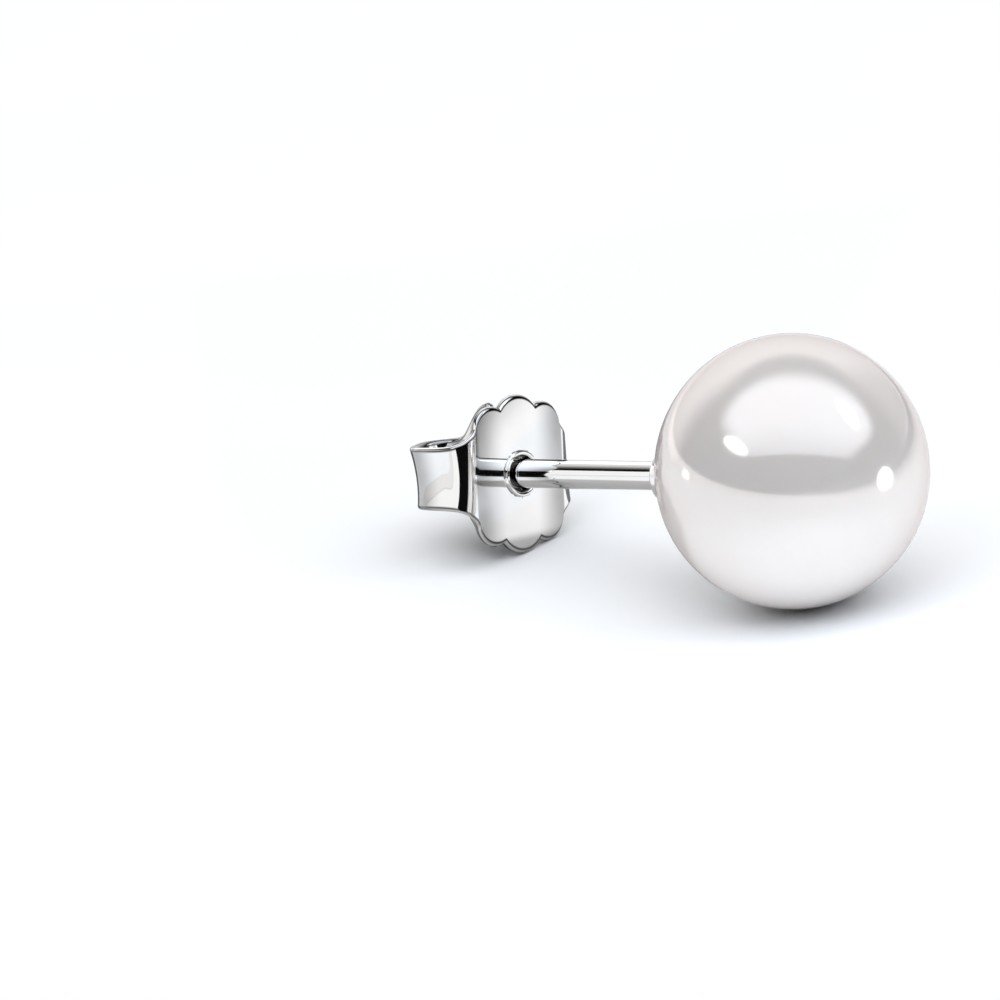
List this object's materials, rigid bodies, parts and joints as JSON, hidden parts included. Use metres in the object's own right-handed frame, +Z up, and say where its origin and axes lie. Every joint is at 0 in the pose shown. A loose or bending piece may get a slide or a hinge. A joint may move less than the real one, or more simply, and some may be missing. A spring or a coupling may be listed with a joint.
{
  "type": "pearl stud earring",
  "caption": "Stud earring: a round white pearl on a straight polished silver post with a small cup, held by a butterfly clutch with a scalloped plate and rolled arms.",
  "frame": {"origin": "the middle of the bounding box's base, on the surface that the stud lies on", "axes": "+X along the stud toward the pearl, +Z up; the post dips 8.1 degrees toward the clutch, and the stud is turned 14.7 degrees about its post, the -Y side up"},
  "size_m": [0.0178, 0.008, 0.008],
  "materials": {
    "pearl_nacre": "gloss",
    "polished_silver": "polished",
    "polished_silver_sheet": "polished"
  },
  "bodies": {
    "stud": {"pearl": "pearl_nacre", "post_cup": "polished_silver"},
    "clutch": {"butterfly_clutch": "polished_silver_sheet"}
  },
  "joints": [
    {"name": "clutch_slide", "type": "slide", "parent": "stud", "child": "clutch", "axis": [-0.99, 0, -0.1411], "range_m": [-0.0057, 0.004]}
  ]
}
